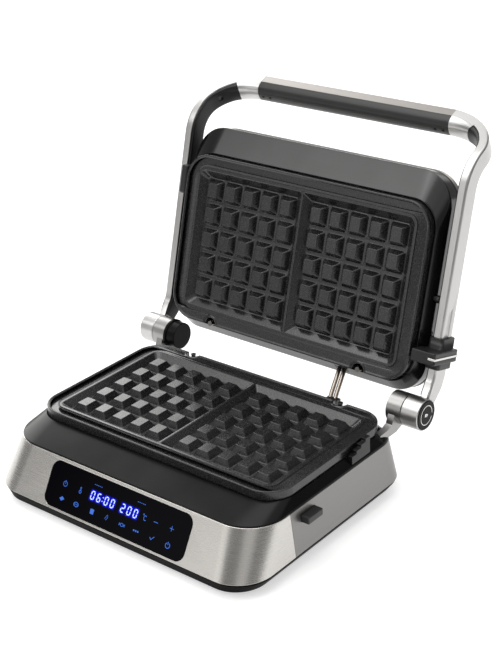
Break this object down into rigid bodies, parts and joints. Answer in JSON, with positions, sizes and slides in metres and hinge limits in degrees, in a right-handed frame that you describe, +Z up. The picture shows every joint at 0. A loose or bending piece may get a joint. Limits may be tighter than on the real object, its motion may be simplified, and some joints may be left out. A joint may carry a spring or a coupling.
{
  "type": "waffle maker",
  "caption": "Contact-grill waffle maker with two lift-off grid plates, a floating lid hung in handle arms on barrel hinges, a sliding height clip and a sloping touch control panel.",
  "frame": {"origin": "on the table plane, below the middle of the open machine's overall box", "axes": "+X to the right seen from the control panel, +Y from the control panel to the hinge, +Z up"},
  "size_m": [0.3473, 0.3957, 0.3206],
  "materials": {
    "steel": "horizontal brushed stainless steel, satin",
    "cover_steel": "brushed stainless steel, satin",
    "gloss_black": "glossy black moulded plastic",
    "black_plastic": "fine-grained satin black plastic",
    "panel_glass": "polished black panel glass with lit symbols behind it",
    "display_light": "blue light display block",
    "circuit_board": "green solder mask",
    "nonstick": "black non-stick coating with fine sparkle on cast aluminium",
    "arm_aluminium": "bead-blasted satin aluminium",
    "trim_metal": "satin chrome trim",
    "bare_steel": "plain zinc-plated steel",
    "reflector": "bright pressed aluminium",
    "heater": "heat-tinted steel sheath",
    "ceramic": "ceramic thermostat body",
    "rack": "dark grey glossy step faces",
    "conduit": "bright metal conduit",
    "rubber": "black rubber feet",
    "release_black": "satin black disc with a light ring"
  },
  "bodies": {
    "base": {"base_tray": "black_plastic", "rubber_feet": "rubber", "base_screws": "bare_steel", "front_band": "steel", "side_band": "steel", "top_bezel": "gloss_black", "control_glass": "panel_glass", "led_display": "display_light", "display_board": "circuit_board", "power_board": "circuit_board", "lower_reflector": "reflector", "lower_heater": "heater", "lower_thermostat": "ceramic", "lower_plate_pins": "bare_steel", "height_rack": "rack", "hinge_bracket_left": "arm_aluminium", "hinge_bracket_right": "arm_aluminium", "hinge_shaft_left": "bare_steel", "hinge_shaft_right": "bare_steel", "pivot_cap_left": "black_plastic", "cord_gland": "black_plastic", "conduit_grommet": "black_plastic", "wire_conduit": "conduit"},
    "arms": {"arm_left": "arm_aluminium", "arm_right": "arm_aluminium", "grip_rail": "arm_aluminium", "handle_grip": "black_plastic", "grip_screws": "bare_steel", "arm_cover_left": "black_plastic", "arm_cover_right": "black_plastic", "cover_screws": "bare_steel", "lid_pivot_left": "bare_steel", "lid_pivot_right": "bare_steel"},
    "lid": {"lid_frame": "gloss_black", "lid_cover": "cover_steel", "upper_reflector": "reflector", "upper_heater": "heater", "upper_thermostat": "ceramic", "upper_plate_pins": "bare_steel", "lid_grommet": "black_plastic"},
    "lower_plate": {"lower_plate": "nonstick"},
    "upper_plate": {"upper_plate": "nonstick"},
    "height_clip": {"height_clip": "black_plastic", "clip_trim": "trim_metal", "clip_pin": "bare_steel"},
    "lower_button": {"lower_button": "black_plastic", "lower_latch": "bare_steel", "lower_button_spring": "bare_steel"},
    "upper_button": {"upper_button": "black_plastic", "upper_latch": "bare_steel", "upper_button_spring": "bare_steel"},
    "hinge_release": {"release_disc": "release_black", "release_stem": "bare_steel", "release_spring": "bare_steel"}
  },
  "joints": [
    {"name": "lid_hinge", "type": "hinge", "parent": "base", "child": "arms", "pos_m": [0, 0.0518, 0.0761], "axis": [-1, 0, 0], "range_deg": [-105.57, 72.93], "deforming": ["wire_conduit"]},
    {"name": "lid_float", "type": "hinge", "parent": "arms", "child": "lid", "pos_m": [0, 0.09802, 0.17118], "axis": [1, 0, 0], "range_deg": [0, 12]},
    {"name": "lower_plate_lift", "type": "slide", "parent": "base", "child": "lower_plate", "axis": [0, 0, 1], "range_m": [0, 0.03]},
    {"name": "upper_plate_lift", "type": "slide", "parent": "lid", "child": "upper_plate", "axis": [0, -0.9633, 0.2684], "range_m": [0, 0.03]},
    {"name": "clip_slide", "type": "slide", "parent": "arms", "child": "height_clip", "axis": [0, 0.2684, 0.9633], "range_m": [0, 0.026]},
    {"name": "lower_button_press", "type": "slide", "parent": "base", "child": "lower_button", "axis": [-1, 0, 0], "range_m": [0, 0.004], "stiffness_N_per_m": 400, "springref_m": -0.002, "deforming": ["lower_button_spring"]},
    {"name": "upper_button_press", "type": "slide", "parent": "lid", "child": "upper_button", "axis": [1, 0, 0], "range_m": [0, 0.003], "stiffness_N_per_m": 400, "springref_m": -0.002, "deforming": ["upper_button_spring"]},
    {"name": "hinge_release_press", "type": "slide", "parent": "arms", "child": "hinge_release", "axis": [-1, 0, 0], "range_m": [0, 0.003], "stiffness_N_per_m": 500, "springref_m": -0.002, "deforming": ["release_spring"]}
  ]
}
